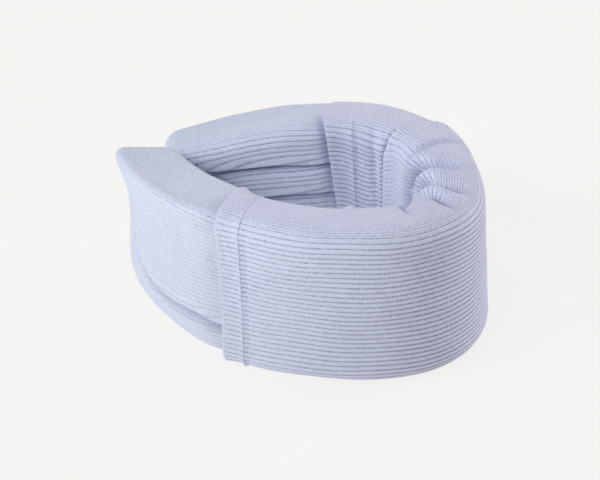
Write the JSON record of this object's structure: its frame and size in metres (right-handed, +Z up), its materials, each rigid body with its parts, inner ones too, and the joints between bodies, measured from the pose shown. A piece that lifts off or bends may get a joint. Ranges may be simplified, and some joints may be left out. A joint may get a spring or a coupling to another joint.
{
  "type": "soft cervical collar",
  "caption": "Soft foam neck collar: a knit-covered foam strip wrapped into an oval ring, with a second ribbed knit sleeve over its middle and a hook-and-loop closure.",
  "frame": {"origin": "centre of the ring's bounding box, on the surface it stands on", "axes": "+Z up, +X towards the tight bend, -Y towards the front of the ring"},
  "size_m": [0.1942, 0.1399, 0.0905],
  "materials": {
    "foam": "open-cell polyurethane foam",
    "inner_knit": "fine rib cotton stockinette",
    "sleeve_knit": "ribbed cotton knit, slightly brushed",
    "thread": "polyester sewing thread",
    "hook_tape": "nylon hook tape",
    "loop_tape": "nylon loop tape"
  },
  "bodies": {
    "back": {"core_back": "foam", "cover_back": "inner_knit", "sleeve_back": "sleeve_knit", "sleeve_back_hem": "sleeve_knit", "back_hem_stitching": "thread"},
    "front": {"core_front": "foam", "cover_front": "inner_knit", "sleeve_front": "sleeve_knit", "sleeve_front_hem": "sleeve_knit", "front_hem_stitching": "thread"},
    "wing": {"core_wing": "foam", "cover_wing": "inner_knit", "wing_end_seam": "thread", "hook_patch": "hook_tape", "hook_patch_stitching": "thread"},
    "tail": {"core_tail": "foam", "cover_tail": "inner_knit", "tail_end_seam": "thread", "loop_patch": "loop_tape", "loop_patch_stitching": "thread"}
  },
  "joints": [
    {"name": "bend_flex", "type": "hinge", "parent": "back", "child": "front", "pos_m": [0.0868, -0.0485, 0.045], "axis": [0, 0, 1], "range_deg": [0, 60], "stiffness_Nm_per_rad": 0.04},
    {"name": "wing_flex", "type": "hinge", "parent": "front", "child": "wing", "pos_m": [-0.0402, -0.0489, 0.045], "axis": [0, 0, 1], "range_deg": [0, 60], "stiffness_Nm_per_rad": 0.02},
    {"name": "tail_flex", "type": "hinge", "parent": "back", "child": "tail", "pos_m": [0.0155, 0.0684, 0.045], "axis": [0, 0, -1], "range_deg": [0, 45], "stiffness_Nm_per_rad": 0.02}
  ]
}
